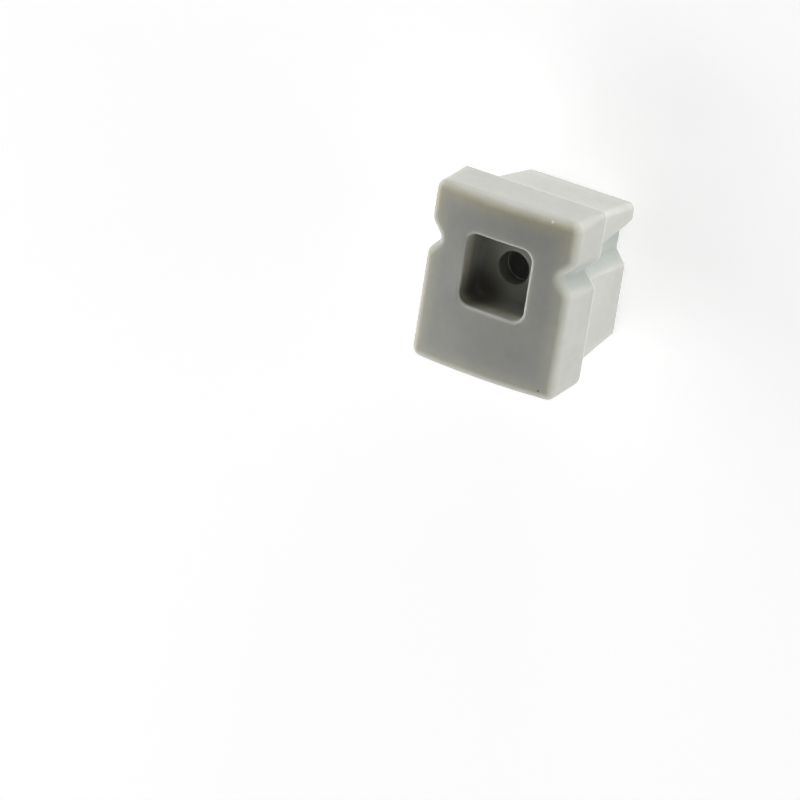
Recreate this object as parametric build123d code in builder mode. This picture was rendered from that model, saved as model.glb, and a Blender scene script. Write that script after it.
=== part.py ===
from build123d import *
import os

# End cap for an extruded profile, moulded in one piece from soft plastic: a flange that covers the
# cut end, and a hollow plug that goes into the profile. A square pocket in the outer face leads to
# a round hole for the cable.
# Millimetres. The plug's end lies on Z = 0 and the outer face looks along +Z. X runs across the
# width and Y along the height, with the middle of the flange on the Z axis.

# Flange
flange_width = 16.0
flange_height = 18.6
flange_depth = 5.6  # at its sides
crown_rise = 0.65  # of the middle of the outer face above its two side edges
outer_edge_radius = 0.9  # round the outer face
corner_margin = 0.1  # by which the corners of the outline are rounder there than that edge
lip_margin = 0.5  # by which the notches' lips are
back_near_radius = 0.4  # of the outline at the shoulder: its notched half is crisp there
back_far_radius = 1.4
parting_bevel = 0.12  # where the halves of the mould met, at the shoulder

# V-shaped notches in the two sides of the flange
notch_offset = 3.0  # of their middle from the middle of the flange, at the shoulder
notch_lean = 0.45  # by which they run further out on the way to the outer face
notch_depth = 1.25
notch_opening = 3.1
notch_floor = 0.4
notch_floor_radius = 0.35

# Plug, and the grooves in its sides, which carry on from the notches and widen towards its end
plug_length = 10.2
plug_root_width = 12.8
plug_root_height = 15.8
plug_tip_width = 12.2
plug_tip_height = 14.2
plug_corner_radius = 0.6
plug_end_bevel = 0.3
collar_length = 3.2
collar_step = 0.12  # by which the collar stands out from the root of the plug
collar_ramp = 0.15  # length over which it comes to stand out
groove_depth = 1.15
groove_flank = 1.4  # measured along the height, from the floor to the lip
groove_root_floor = 0.4
groove_tip_floor = 2.0

# Hollow of the plug, open at its end
cavity_width = 7.2
cavity_height = 10.4
cavity_depth = 9.25
cavity_corner_radius = 1.2
cavity_draft = 1.0  # degrees, so that the core can be drawn out

# Pocket in the outer face, and the cable hole in its floor
pocket_width = 7.3
pocket_height = 7.5
pocket_depth = 4.0  # below the middle of the outer face
pocket_offset = 1.5  # of its middle from the middle of the flange
pocket_corner_radius = 1.2
pocket_mouth_radius = 0.3
pocket_floor_bevel = 0.3
cable_hole_diameter = 3.4
cable_hole_bevel = 0.15

shoulder = plug_length
front_corner_radius = outer_edge_radius + corner_margin
front_lip_radius = outer_edge_radius + lip_margin
crown = shoulder + flange_depth + crown_rise
front_level = shoulder + flange_depth - front_corner_radius  # from here on the corners keep their radius
pocket_floor = crown - pocket_depth


def notched_outline(level, width, height, notch, radii):
    """A rectangle with the same notch in both of its sides. The radii are those of the two corners
    beside the notches, of the notches' lips, of their floors and of the other two corners."""
    offset, depth, opening, floor = notch
    near_radius, lip_radius, floor_radius, far_radius = radii
    side = width / 2
    with BuildSketch(Plane.XY.offset(level)) as outline:
        with BuildLine():
            FilletPolyline(
                (0, height / 2),
                (side, height / 2),
                (side, offset + opening / 2),
                (side - depth, offset + floor / 2),
                (side - depth, offset - floor / 2),
                (side, offset - opening / 2),
                (side, -height / 2),
                (0, -height / 2),
                radius=(near_radius, lip_radius, floor_radius, floor_radius, lip_radius, far_radius),
            )
            mirror(about=Plane.YZ)
        make_face()
    return outline.sketch


def flange_outline(level, inset, lean, radii):
    notch = (notch_offset + lean, notch_depth, notch_opening, notch_floor)
    return notched_outline(level, flange_width - 2 * inset, flange_height - 2 * inset, notch, radii)


def plug_outline(level, size, floor):
    groove = (notch_offset, groove_depth, floor + 2 * groove_flank, floor)
    radii = (plug_corner_radius, plug_corner_radius, 0, plug_corner_radius)  # the floor's edges are crisp
    return notched_outline(level, *size, groove, radii)


back_radii = (back_near_radius, back_near_radius, notch_floor_radius, back_far_radius)
front_radii = (front_corner_radius, front_lip_radius, notch_floor_radius, front_corner_radius)
end_size = (plug_tip_width - 2 * plug_end_bevel, plug_tip_height - 2 * plug_end_bevel)
tip_size = (plug_tip_width, plug_tip_height)
root_size = (plug_root_width, plug_root_height)
collar_size = (plug_root_width + 2 * collar_step, plug_root_height + 2 * collar_step)

with BuildPart() as end_cap:
    # Flange: its notched half grows rounder towards the front, which is cut to a crowned face
    shoulder_edge = flange_outline(shoulder, parting_bevel, 0, back_radii)
    back = flange_outline(shoulder + parting_bevel, 0, 0, back_radii)
    front = flange_outline(front_level, 0, notch_lean, front_radii)
    loft((shoulder_edge, back, front), ruled=True)
    extrude(front, amount=crown - front_level)
    with BuildSketch(Plane.XZ):
        with BuildLine():
            sides = Polyline(
                (-flange_width / 2, shoulder + flange_depth),
                (-flange_width / 2, shoulder),
                (flange_width / 2, shoulder),
                (flange_width / 2, shoulder + flange_depth),
            )
            ThreePointArc(sides @ 0, (0, crown), sides @ 1)
        make_face()
    extrude(amount=flange_height / 2, both=True, mode=Mode.INTERSECT)
    fillet(end_cap.faces().sort_by(Axis.Z)[-1].edges(), outer_edge_radius)

    # Plug: it tapers to its end, and a collar stands out beside the shoulder
    end = plug_outline(0, end_size, groove_tip_floor)
    tip = plug_outline(plug_end_bevel, tip_size, groove_tip_floor)
    root = plug_outline(shoulder - collar_length, root_size, groove_root_floor)
    collar_start = plug_outline(shoulder - collar_length + collar_ramp, collar_size, groove_root_floor)
    collar_end = plug_outline(shoulder, collar_size, groove_root_floor)
    loft((end, tip, root, collar_start, collar_end), ruled=True)

    # Hollow of the plug
    with BuildSketch():
        RectangleRounded(cavity_width, cavity_height, cavity_corner_radius)
    extrude(amount=cavity_depth, taper=cavity_draft, mode=Mode.SUBTRACT)

    # Pocket
    with BuildSketch(Plane.XY.offset(pocket_floor)):
        with Locations((0, pocket_offset)):
            RectangleRounded(pocket_width, pocket_height, pocket_corner_radius)
    extrude(amount=pocket_depth, mode=Mode.SUBTRACT)
    pocket_edges = end_cap.edges(Select.LAST)
    chamfer(pocket_edges.group_by(Axis.Z)[0], pocket_floor_bevel)
    fillet(pocket_edges.filter_by_position(Axis.Z, shoulder + flange_depth, crown), pocket_mouth_radius)

    # Cable hole
    with BuildSketch(Plane.XY.offset(cavity_depth)):
        with Locations((0, pocket_offset)):
            Circle(cable_hole_diameter / 2)
    extrude(amount=pocket_floor - cavity_depth, mode=Mode.SUBTRACT)
    chamfer(end_cap.edges(Select.LAST).filter_by(GeomType.CIRCLE), cable_hole_bevel)

end_cap.part.label = "end_cap"
os.makedirs("parts", exist_ok=True)
export_step(end_cap.part, "parts/end_cap.step")
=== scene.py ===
import bpy
import math
from mathutils import Matrix, Vector

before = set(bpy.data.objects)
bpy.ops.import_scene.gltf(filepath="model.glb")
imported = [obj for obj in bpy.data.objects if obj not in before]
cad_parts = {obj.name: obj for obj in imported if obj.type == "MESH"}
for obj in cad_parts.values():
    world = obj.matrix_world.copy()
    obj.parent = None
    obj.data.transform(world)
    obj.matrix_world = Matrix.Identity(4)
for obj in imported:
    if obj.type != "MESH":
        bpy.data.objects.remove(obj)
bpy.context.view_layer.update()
print("frame loaded")


# shader helpers

def newNode(tree, kind, **settings):
    node = tree.nodes.new(kind)
    for name, value in settings.items():
        setattr(node, name, value)
    return node


def feed(tree, socket, value):
    # the value is another node's socket, or a plain number, point or colour
    if isinstance(value, bpy.types.NodeSocket):
        tree.links.new(value, socket)
    else:
        socket.default_value = value


def mathNode(tree, operation, *values):
    node = newNode(tree, "ShaderNodeMath", operation=operation)
    for socket, value in zip(node.inputs, values):
        feed(tree, socket, value)
    return node.outputs[0]


def vectorNode(tree, operation, *values):
    node = newNode(tree, "ShaderNodeVectorMath", operation=operation)
    for socket, value in zip(node.inputs, values):
        feed(tree, socket, value)
    return node.outputs


def rampNode(tree, value, low, high):
    # smooth step from 0 at low to 1 at high
    node = newNode(tree, "ShaderNodeMapRange", interpolation_type="SMOOTHSTEP")
    for name, source in (("Value", value), ("From Min", low), ("From Max", high)):
        feed(tree, node.inputs[name], source)
    return node.outputs["Result"]


def mixColour(tree, mask, first, second, blend="MIX"):
    node = newNode(tree, "ShaderNodeMix", data_type="RGBA", blend_type=blend)
    sockets = {socket.identifier: socket for socket in node.inputs}
    for name, value in (("Factor_Float", mask), ("A_Color", first), ("B_Color", second)):
        feed(tree, sockets[name], (*value, 1) if isinstance(value, tuple) else value)
    return next(socket for socket in node.outputs if socket.identifier == "Result_Color")


def newGroup(name, inputs, outputs):
    # an input that starts from None is a point, the others are numbers
    group = bpy.data.node_groups.new(name, "ShaderNodeTree")
    for label, value in inputs.items():
        kind = "NodeSocketVector" if value is None else "NodeSocketFloat"
        socket = group.interface.new_socket(label, in_out="INPUT", socket_type=kind)
        if value is not None:
            socket.default_value = value
    for label in outputs:
        group.interface.new_socket(label, in_out="OUTPUT", socket_type="NodeSocketFloat")
    return group, group.nodes.new("NodeGroupInput").outputs, group.nodes.new("NodeGroupOutput").inputs


def placeGroup(tree, group, values):
    node = newNode(tree, "ShaderNodeGroup", node_tree=group)
    for label, value in values.items():
        feed(tree, node.inputs[label], value)
    return node.outputs


# effects of moulded soft plastic, and the masks for them and for the painted light and shade

def makeMottle():
    # slow clouds of tone from uneven flow, and finer flecks from the surface
    inputs = {"Position": None, "Cloud Scale": 230.0, "Fleck Scale": 1300.0, "Low": 0.3, "High": 0.7}
    group, given, made = newGroup("flowMottle", inputs, ["Cloud", "Fleck"])
    for name, detail in (("Cloud", 3.0), ("Fleck", 2.0)):
        noise = newNode(group, "ShaderNodeTexNoise")
        noise.inputs["Detail"].default_value = detail
        group.links.new(given["Position"], noise.inputs["Vector"])
        group.links.new(given[name + " Scale"], noise.inputs["Scale"])
        group.links.new(rampNode(group, noise.outputs["Fac"], given["Low"], given["High"]), made[name])
    return group


def makeGrain():
    # the fine sparked skin of the mould with a few long waves in it
    inputs = {"Position": None, "Grain Scale": 5200.0, "Wave Scale": 420.0, "Wave Share": 0.5}
    group, given, made = newGroup("mouldGrain", inputs, ["Height"])
    heights = []
    for name, detail in (("Grain Scale", 2.0), ("Wave Scale", 1.0)):
        noise = newNode(group, "ShaderNodeTexNoise")
        noise.inputs["Detail"].default_value = detail
        group.links.new(given["Position"], noise.inputs["Vector"])
        group.links.new(given[name], noise.inputs["Scale"])
        heights.append(noise.outputs["Fac"])
    grain, wave = heights
    share = mathNode(group, "MULTIPLY", wave, given["Wave Share"])
    group.links.new(mathNode(group, "ADD", grain, share), made["Height"])
    return group


def makeBand():
    # 1 between full and fade, falling smoothly to 0 at start and at end
    inputs = {"Value": 0.0, "Start": 0.0, "Full": 1.0, "Fade": 2.0, "End": 3.0}
    group, given, made = newGroup("softBand", inputs, ["Mask"])
    rising = rampNode(group, given["Value"], given["Start"], given["Full"])
    fading = rampNode(group, given["Value"], given["Fade"], given["End"])
    falling = mathNode(group, "SUBTRACT", 1.0, fading)
    group.links.new(mathNode(group, "MULTIPLY", rising, falling), made["Mask"])
    return group


def makeSpot():
    # 1 in the core, which is a share of the radius round a point, falling smoothly to 0 at the radius
    inputs = {"Position": None, "Centre": None, "Radius": 1.0, "Core": 0.3}
    group, given, made = newGroup("spot", inputs, ["Mask"])
    distance = vectorNode(group, "DISTANCE", given["Position"], given["Centre"])["Value"]
    share = mathNode(group, "DIVIDE", distance, given["Radius"])
    edge = rampNode(group, share, given["Core"], 1.0)
    group.links.new(mathNode(group, "SUBTRACT", 1.0, edge), made["Mask"])
    return group


def makeFrameDistance():
    # distance from a rounded rectangle's edge in X and Y: negative inside it, positive outside
    inputs = {"Position": None, "Centre": None, "Half Size": None, "Corner": 1.0}
    group, given, made = newGroup("frameDistance", inputs, ["Distance"])
    offset = vectorNode(group, "SUBTRACT", given["Position"], given["Centre"])["Vector"]
    around = vectorNode(group, "ABSOLUTE", offset)["Vector"]
    beyond = vectorNode(group, "SUBTRACT", around, given["Half Size"])["Vector"]
    parts = newNode(group, "ShaderNodeSeparateXYZ")
    group.links.new(beyond, parts.inputs[0])
    x, y = (mathNode(group, "ADD", parts.outputs[name], given["Corner"]) for name in "XY")
    outX, outY = (mathNode(group, "MAXIMUM", value, 0.0) for value in (x, y))
    squares = [mathNode(group, "MULTIPLY", value, value) for value in (outX, outY)]
    outside = mathNode(group, "SQRT", mathNode(group, "ADD", *squares))
    inside = mathNode(group, "MINIMUM", mathNode(group, "MAXIMUM", x, y), 0.0)
    total = mathNode(group, "ADD", outside, inside)
    group.links.new(mathNode(group, "SUBTRACT", total, given["Corner"]), made["Distance"])
    return group


flowMottle = makeMottle()
mouldGrain = makeGrain()
softBand = makeBand()
spot = makeSpot()
frameDistance = makeFrameDistance()
print("effects made")


# cap

mmPerMetre = 1000.0

# Outlines, zones, lines and marks are in millimetres on the cap's own axes: x and y from the middle of the
# flange, and z up from the plug's end. A zone or line lies where its spans overlap. A span of two numbers
# goes from none of the tone to all of it, and one of four then goes back to none. A span with an outline's
# name is the distance from that outline, negative inside it. A tint multiplies the colour, and a tone
# replaces it. All the zones, both lines and the pocket's corner mark are painted light and shade; the other
# marks are blemishes.
capFinishAndPaintedLight = dict(
    base=(0.500, 0.503, 0.471),
    mottle=dict(
        cloud=dict(tone=(0.455, 0.460, 0.426), strength=0.8),
        fleck=dict(tone=(0.55, 0.55, 0.52), strength=0.25),
    ),
    roughness=0.62,
    roughnessSpread=0.08,
    specular=0.32,
    throughLight=0.7,  # share of light that goes a little way in
    throughRadius=(1.0, 0.95, 0.8),
    throughScale=0.0018,  # in metres, and so is grainDistance
    grainDistance=0.00002,
    grainStrength=0.5,
    outlines=dict(
        flangeEdge=dict(centre=(0, 0, 0), halfSize=(8.0, 9.3, 0), corner=1.0),
        mouthEdge=dict(centre=(0, 1.5, 0), halfSize=(3.85, 3.95, 0), corner=1.4),
        holeEdge=dict(centre=(0, 1.5, 0), halfSize=(1.9, 1.9, 0), corner=1.9),
    ),
    zones=dict(
        # painted light: the plug is a little lighter, as more light reaches its sides than the flange's
        plug=dict(z=(10.21, 10.19), tint=(1.075, 1.075, 1.08)),  # a little lighter than the flange
        # painted light: a lighter, warmer band on the face's rounded rim, for light showing through the
        # thin edge
        rim=dict(flangeEdge=(-2.6, -0.9, -0.6, 0.1), z=(14.6, 15.3), tint=(1.15, 1.145, 1.09)),
        # painted shade: a brownish band on the face below its edge towards +y, where the rounded edge turns
        # from the light
        oliveRimShade=dict(flangeEdge=(-2.6, -0.9, -0.6, 0.1), z=(14.6, 15.3), y=(4.5, 8.5),
                      tint=(1.02, 0.985, 0.9)),
        # painted light: the -x edge takes the warm cast of the light that comes round it from behind
        leftEdgeWarmLight=dict(x=(-7.1, -7.8), z=(14.2, 15.4), tint=(0.95, 0.88, 0.845)),
        # painted shade: the face grows darker towards +y
        faceShadeRamp=dict(y=(-6.0, 8.5), z=(14.9, 15.3), tint=(0.9, 0.9, 0.9)),
        # painted shade: the notches a little darker and cooler than the flange
        notchShade=dict(y=(1.0, 1.7, 4.4, 5.3), across=(4.6, 5.0, 7.4, 7.95), z=(15.9, 15.1),
                     tint=(0.89, 0.94, 0.94)),  # across is x without its sign
        # painted light: the pocket's walls are lighter near the mouth, where more light gets in
        mouth=dict(mouthEdge=(0.1, -0.1), z=(13.9, 15.1, 15.5, 15.85), tint=(1.5, 1.45, 1.36)),
        # painted shade: the hole is darker the deeper it goes
        hole=dict(holeEdge=(0.0, -0.1), z=(12.4, 11.9), tint=(0.5, 0.5, 0.47)),
    ),
    lines=dict(
        # painted highlight: a bright line at the parting line round the shoulder edge, where the edge
        # catches the light
        partingHighlight=dict(z=(10.2, 10.22, 10.38, 10.5), tone=(0.7, 0.7, 0.67), strength=1.0),
        # painted highlight: a fainter bright line at the collar's edge
        collarHighlight=dict(z=(6.95, 7.05, 7.15, 7.3), tone=(0.6, 0.6, 0.58), strength=0.6),
    ),
    marks=dict(
        # painted shade: the pocket's deep corner towards -x and -y is dark where little light reaches
        pocketCornerShade=dict(centre=(-3.5, -2.1, 12.5), radius=4.3, tint=(0.38, 0.36, 0.33)),
        whiteSpeck=dict(centre=(5.13, 8.88, 16.03), radius=0.2, tint=(1.6, 1.62, 1.8)),
        darkDot=dict(centre=(6.48, -8.33, 16.0), radius=0.16, tint=(0.3, 0.3, 0.28)),
        lowSmudge=dict(centre=(2.8, -5.45, 16.37), radius=0.6, tint=(0.94, 0.94, 0.93)),
        sideSmudge=dict(centre=(8.0, -2.95, 15.0), radius=0.7, tint=(0.94, 0.95, 0.94)),
        mouthNick=dict(centre=(3.85, -0.53, 16.15), radius=0.25, tint=(1.3, 1.3, 1.28)),
    ),
)


def takeMeasures(tree, point):
    # what the spans go by: x, y, z, x without its sign, and the distance from each outline
    parts = newNode(tree, "ShaderNodeSeparateXYZ")
    tree.links.new(point, parts.inputs[0])
    measures = {name.lower(): parts.outputs[name] for name in "XYZ"}
    measures["across"] = mathNode(tree, "ABSOLUTE", measures["x"])
    for name, outline in capFinishAndPaintedLight["outlines"].items():
        values = {"Position": point, "Centre": outline["centre"], "Half Size": outline["halfSize"],
                  "Corner": outline["corner"]}
        measures[name] = placeGroup(tree, frameDistance, values)["Distance"]
    return measures


def spanMask(tree, value, span):
    if len(span) == 2:
        return rampNode(tree, value, *span)
    start, full, fade, end = span
    values = {"Value": value, "Start": start, "Full": full, "Fade": fade, "End": end}
    return placeGroup(tree, softBand, values)["Mask"]


def overlapMask(tree, measures, zone):
    # the product of the masks of the zone's spans
    mask, *others = (spanMask(tree, measures[name], zone[name]) for name in zone if name in measures)
    for other in others:
        mask = mathNode(tree, "MULTIPLY", mask, other)
    return mask


def tintWhere(tree, colour, mask, tint):
    return mixColour(tree, mask, colour, tint, blend="MULTIPLY")


def addTones(tree, place, colour):
    # the zones, among them painted light and shade, the painted highlight lines, the painted shade in the
    # pocket's corner and small blemishes
    point = vectorNode(tree, "MULTIPLY", place, (mmPerMetre, mmPerMetre, mmPerMetre))["Vector"]
    measures = takeMeasures(tree, point)
    for zone in capFinishAndPaintedLight["zones"].values():
        colour = tintWhere(tree, colour, overlapMask(tree, measures, zone), zone["tint"])
    for line in capFinishAndPaintedLight["lines"].values():
        mask = mathNode(tree, "MULTIPLY", overlapMask(tree, measures, line), line["strength"])
        colour = mixColour(tree, mask, colour, line["tone"])
    for mark in capFinishAndPaintedLight["marks"].values():
        values = {"Position": point, "Centre": mark["centre"], "Radius": mark["radius"]}
        colour = tintWhere(tree, colour, placeGroup(tree, spot, values)["Mask"], mark["tint"])
    return colour


def makeCapMaterial():
    material = bpy.data.materials.new("softGreyPlastic")
    material.use_nodes = True
    tree = material.node_tree
    shader = tree.nodes["Principled BSDF"]
    place = newNode(tree, "ShaderNodeTexCoord").outputs["Object"]
    mottle = placeGroup(tree, flowMottle, {"Position": place})
    colour = capFinishAndPaintedLight["base"]
    for name, layer in capFinishAndPaintedLight["mottle"].items():
        strength = mathNode(tree, "MULTIPLY", mottle[name.capitalize()], layer["strength"])
        colour = mixColour(tree, strength, colour, layer["tone"])
    tree.links.new(addTones(tree, place, colour), shader.inputs["Base Color"])
    roughness = mathNode(tree, "MULTIPLY_ADD", mottle["Cloud"],
                         capFinishAndPaintedLight["roughnessSpread"], capFinishAndPaintedLight["roughness"])
    tree.links.new(roughness, shader.inputs["Roughness"])
    shader.inputs["Specular IOR Level"].default_value = capFinishAndPaintedLight["specular"]
    shader.inputs["Subsurface Weight"].default_value = capFinishAndPaintedLight["throughLight"]
    shader.inputs["Subsurface Radius"].default_value = capFinishAndPaintedLight["throughRadius"]
    shader.inputs["Subsurface Scale"].default_value = capFinishAndPaintedLight["throughScale"]
    bump = newNode(tree, "ShaderNodeBump")
    bump.inputs["Strength"].default_value = capFinishAndPaintedLight["grainStrength"]
    bump.inputs["Distance"].default_value = capFinishAndPaintedLight["grainDistance"]
    tree.links.new(placeGroup(tree, mouldGrain, {"Position": place})["Height"], bump.inputs["Height"])
    tree.links.new(bump.outputs["Normal"], shader.inputs["Normal"])
    return material


capMaterial = makeCapMaterial()
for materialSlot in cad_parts["end_cap"].material_slots:
    materialSlot.material = capMaterial
print("cap material made")


# floor, world, lamps and camera, in metres and watts

floorSettings = dict(size=1.2, glow=0.57, tone=(0.82, 0.82, 0.82))


def seenDirectly(tree):
    # 1 for what the camera sees, straight or in a reflection, and 0 for the light that falls on the cap
    path = newNode(tree, "ShaderNodeLightPath")
    straight = mathNode(tree, "MAXIMUM", path.outputs["Is Camera Ray"], path.outputs["Is Transmission Ray"])
    return mathNode(tree, "MAXIMUM", straight, path.outputs["Is Glossy Ray"])


def makeFloor():
    # a flat square under the plug, white to the camera but still shaded by the cap
    half = floorSettings["size"] / 2
    mesh = bpy.data.meshes.new("floor")
    corners = [(-half, -half, 0), (half, -half, 0), (half, half, 0), (-half, half, 0)]
    mesh.from_pydata(corners, [], [(0, 1, 2, 3)])
    floor = bpy.data.objects.new("floor", mesh)
    bpy.context.collection.objects.link(floor)
    material = bpy.data.materials.new("whiteFloor")
    material.use_nodes = True
    tree = material.node_tree
    tree.nodes.clear()
    diffuse = newNode(tree, "ShaderNodeBsdfDiffuse")
    diffuse.inputs["Color"].default_value = (*floorSettings["tone"], 1)
    glow = newNode(tree, "ShaderNodeEmission")
    strength = mathNode(tree, "MULTIPLY", seenDirectly(tree), floorSettings["glow"])
    tree.links.new(strength, glow.inputs["Strength"])
    both = newNode(tree, "ShaderNodeAddShader")
    output = newNode(tree, "ShaderNodeOutputMaterial")
    tree.links.new(diffuse.outputs[0], both.inputs[0])
    tree.links.new(glow.outputs[0], both.inputs[1])
    tree.links.new(both.outputs[0], output.inputs["Surface"])
    mesh.materials.append(material)


makeFloor()

worldLight = dict(
    colour=(1, 1, 1),
    around=2.2,
    overhead=0.035,
    darkCentre=(0.25, 0.2, 0.95),
    brightUntil=0.05,  # cosine of the angle from darkCentre, as in darkFrom
    darkFrom=0.45,
    backdrop=(0.8, 0.8, 0.8),  # what the camera sees past the floor
)


def makeWorld():
    # bright all round and dim overhead: the strength falls as a direction nears darkCentre
    world = bpy.data.worlds.new("studio")
    bpy.context.scene.world = world
    world.use_nodes = True
    tree = world.node_tree
    tree.nodes.clear()
    direction = newNode(tree, "ShaderNodeTexCoord").outputs["Generated"]
    darkCentre = Vector(worldLight["darkCentre"]).normalized()
    cosine = vectorNode(tree, "DOT_PRODUCT", direction, darkCentre)["Value"]
    overhead = rampNode(tree, cosine, worldLight["brightUntil"], worldLight["darkFrom"])
    fall = worldLight["overhead"] - worldLight["around"]
    strength = mathNode(tree, "MULTIPLY_ADD", overhead, fall, worldLight["around"])
    ambient = newNode(tree, "ShaderNodeBackground")
    ambient.inputs["Color"].default_value = (*worldLight["colour"], 1)
    tree.links.new(strength, ambient.inputs["Strength"])
    backdrop = newNode(tree, "ShaderNodeBackground")
    backdrop.inputs["Color"].default_value = (*worldLight["backdrop"], 1)
    mix = newNode(tree, "ShaderNodeMixShader")
    output = newNode(tree, "ShaderNodeOutputWorld")
    tree.links.new(seenDirectly(tree), mix.inputs[0])
    tree.links.new(ambient.outputs[0], mix.inputs[1])
    tree.links.new(backdrop.outputs[0], mix.inputs[2])
    tree.links.new(mix.outputs[0], output.inputs["Surface"])


makeWorld()

# low, wide softboxes, and a small fill from higher up
lamps = dict(
    key=dict(direction=(0.2, 1.0, 0.07), power=1.05),
    side=dict(direction=(1.0, 0.1, 0.06), power=1.08),
    rim=dict(direction=(-1.0, 0.0, 0.12), power=0.72),
    fill=dict(direction=(-0.35, -0.6, 0.7), power=0.2),
)
lampPanel = dict(width=0.30, height=0.05, distance=0.4)


def makeLamps():
    # each panel faces the cap's zero point from its direction
    for name, values in lamps.items():
        light = bpy.data.lights.new(name, "AREA")
        light.shape = "RECTANGLE"
        light.size = lampPanel["width"]
        light.size_y = lampPanel["height"]
        light.energy = values["power"]
        lamp = bpy.data.objects.new(name, light)
        direction = Vector(values["direction"]).normalized()
        lamp.location = direction * lampPanel["distance"]
        lamp.rotation_euler = direction.to_track_quat("Z", "Y").to_euler()
        bpy.context.collection.objects.link(lamp)


makeLamps()

cameraSettings = dict(
    place=(0.23722, 0.20766, 0.50296),
    azimuth=132.116,  # the three angles are in degrees
    elevation=55.813,
    roll=117.927,
    lens=270.0,  # in millimetres
    nearest=0.01,  # what is closer than this isn't drawn
)


def makeCamera():
    # azimuth 0 looks along +Y; the roll turns the camera about its own axis
    angles = (cameraSettings[name] for name in ("azimuth", "elevation", "roll"))
    azimuth, elevation, roll = (math.radians(angle) for angle in angles)
    back = Vector((math.sin(azimuth) * math.cos(elevation),
                   -math.cos(azimuth) * math.cos(elevation), math.sin(elevation)))
    level = back.to_track_quat("Z", "Y").to_matrix().to_4x4()
    data = bpy.data.cameras.new("camera")
    data.lens = cameraSettings["lens"]
    data.clip_start = cameraSettings["nearest"]
    camera = bpy.data.objects.new("camera", data)
    camera.matrix_world = (Matrix.Translation(cameraSettings["place"]) @ level
                           @ Matrix.Rotation(-roll, 4, "Z"))
    bpy.context.collection.objects.link(camera)
    bpy.context.scene.camera = camera


makeCamera()
bpy.context.scene.view_settings.view_transform = "Standard"
print("floor, world, lamps and camera set")
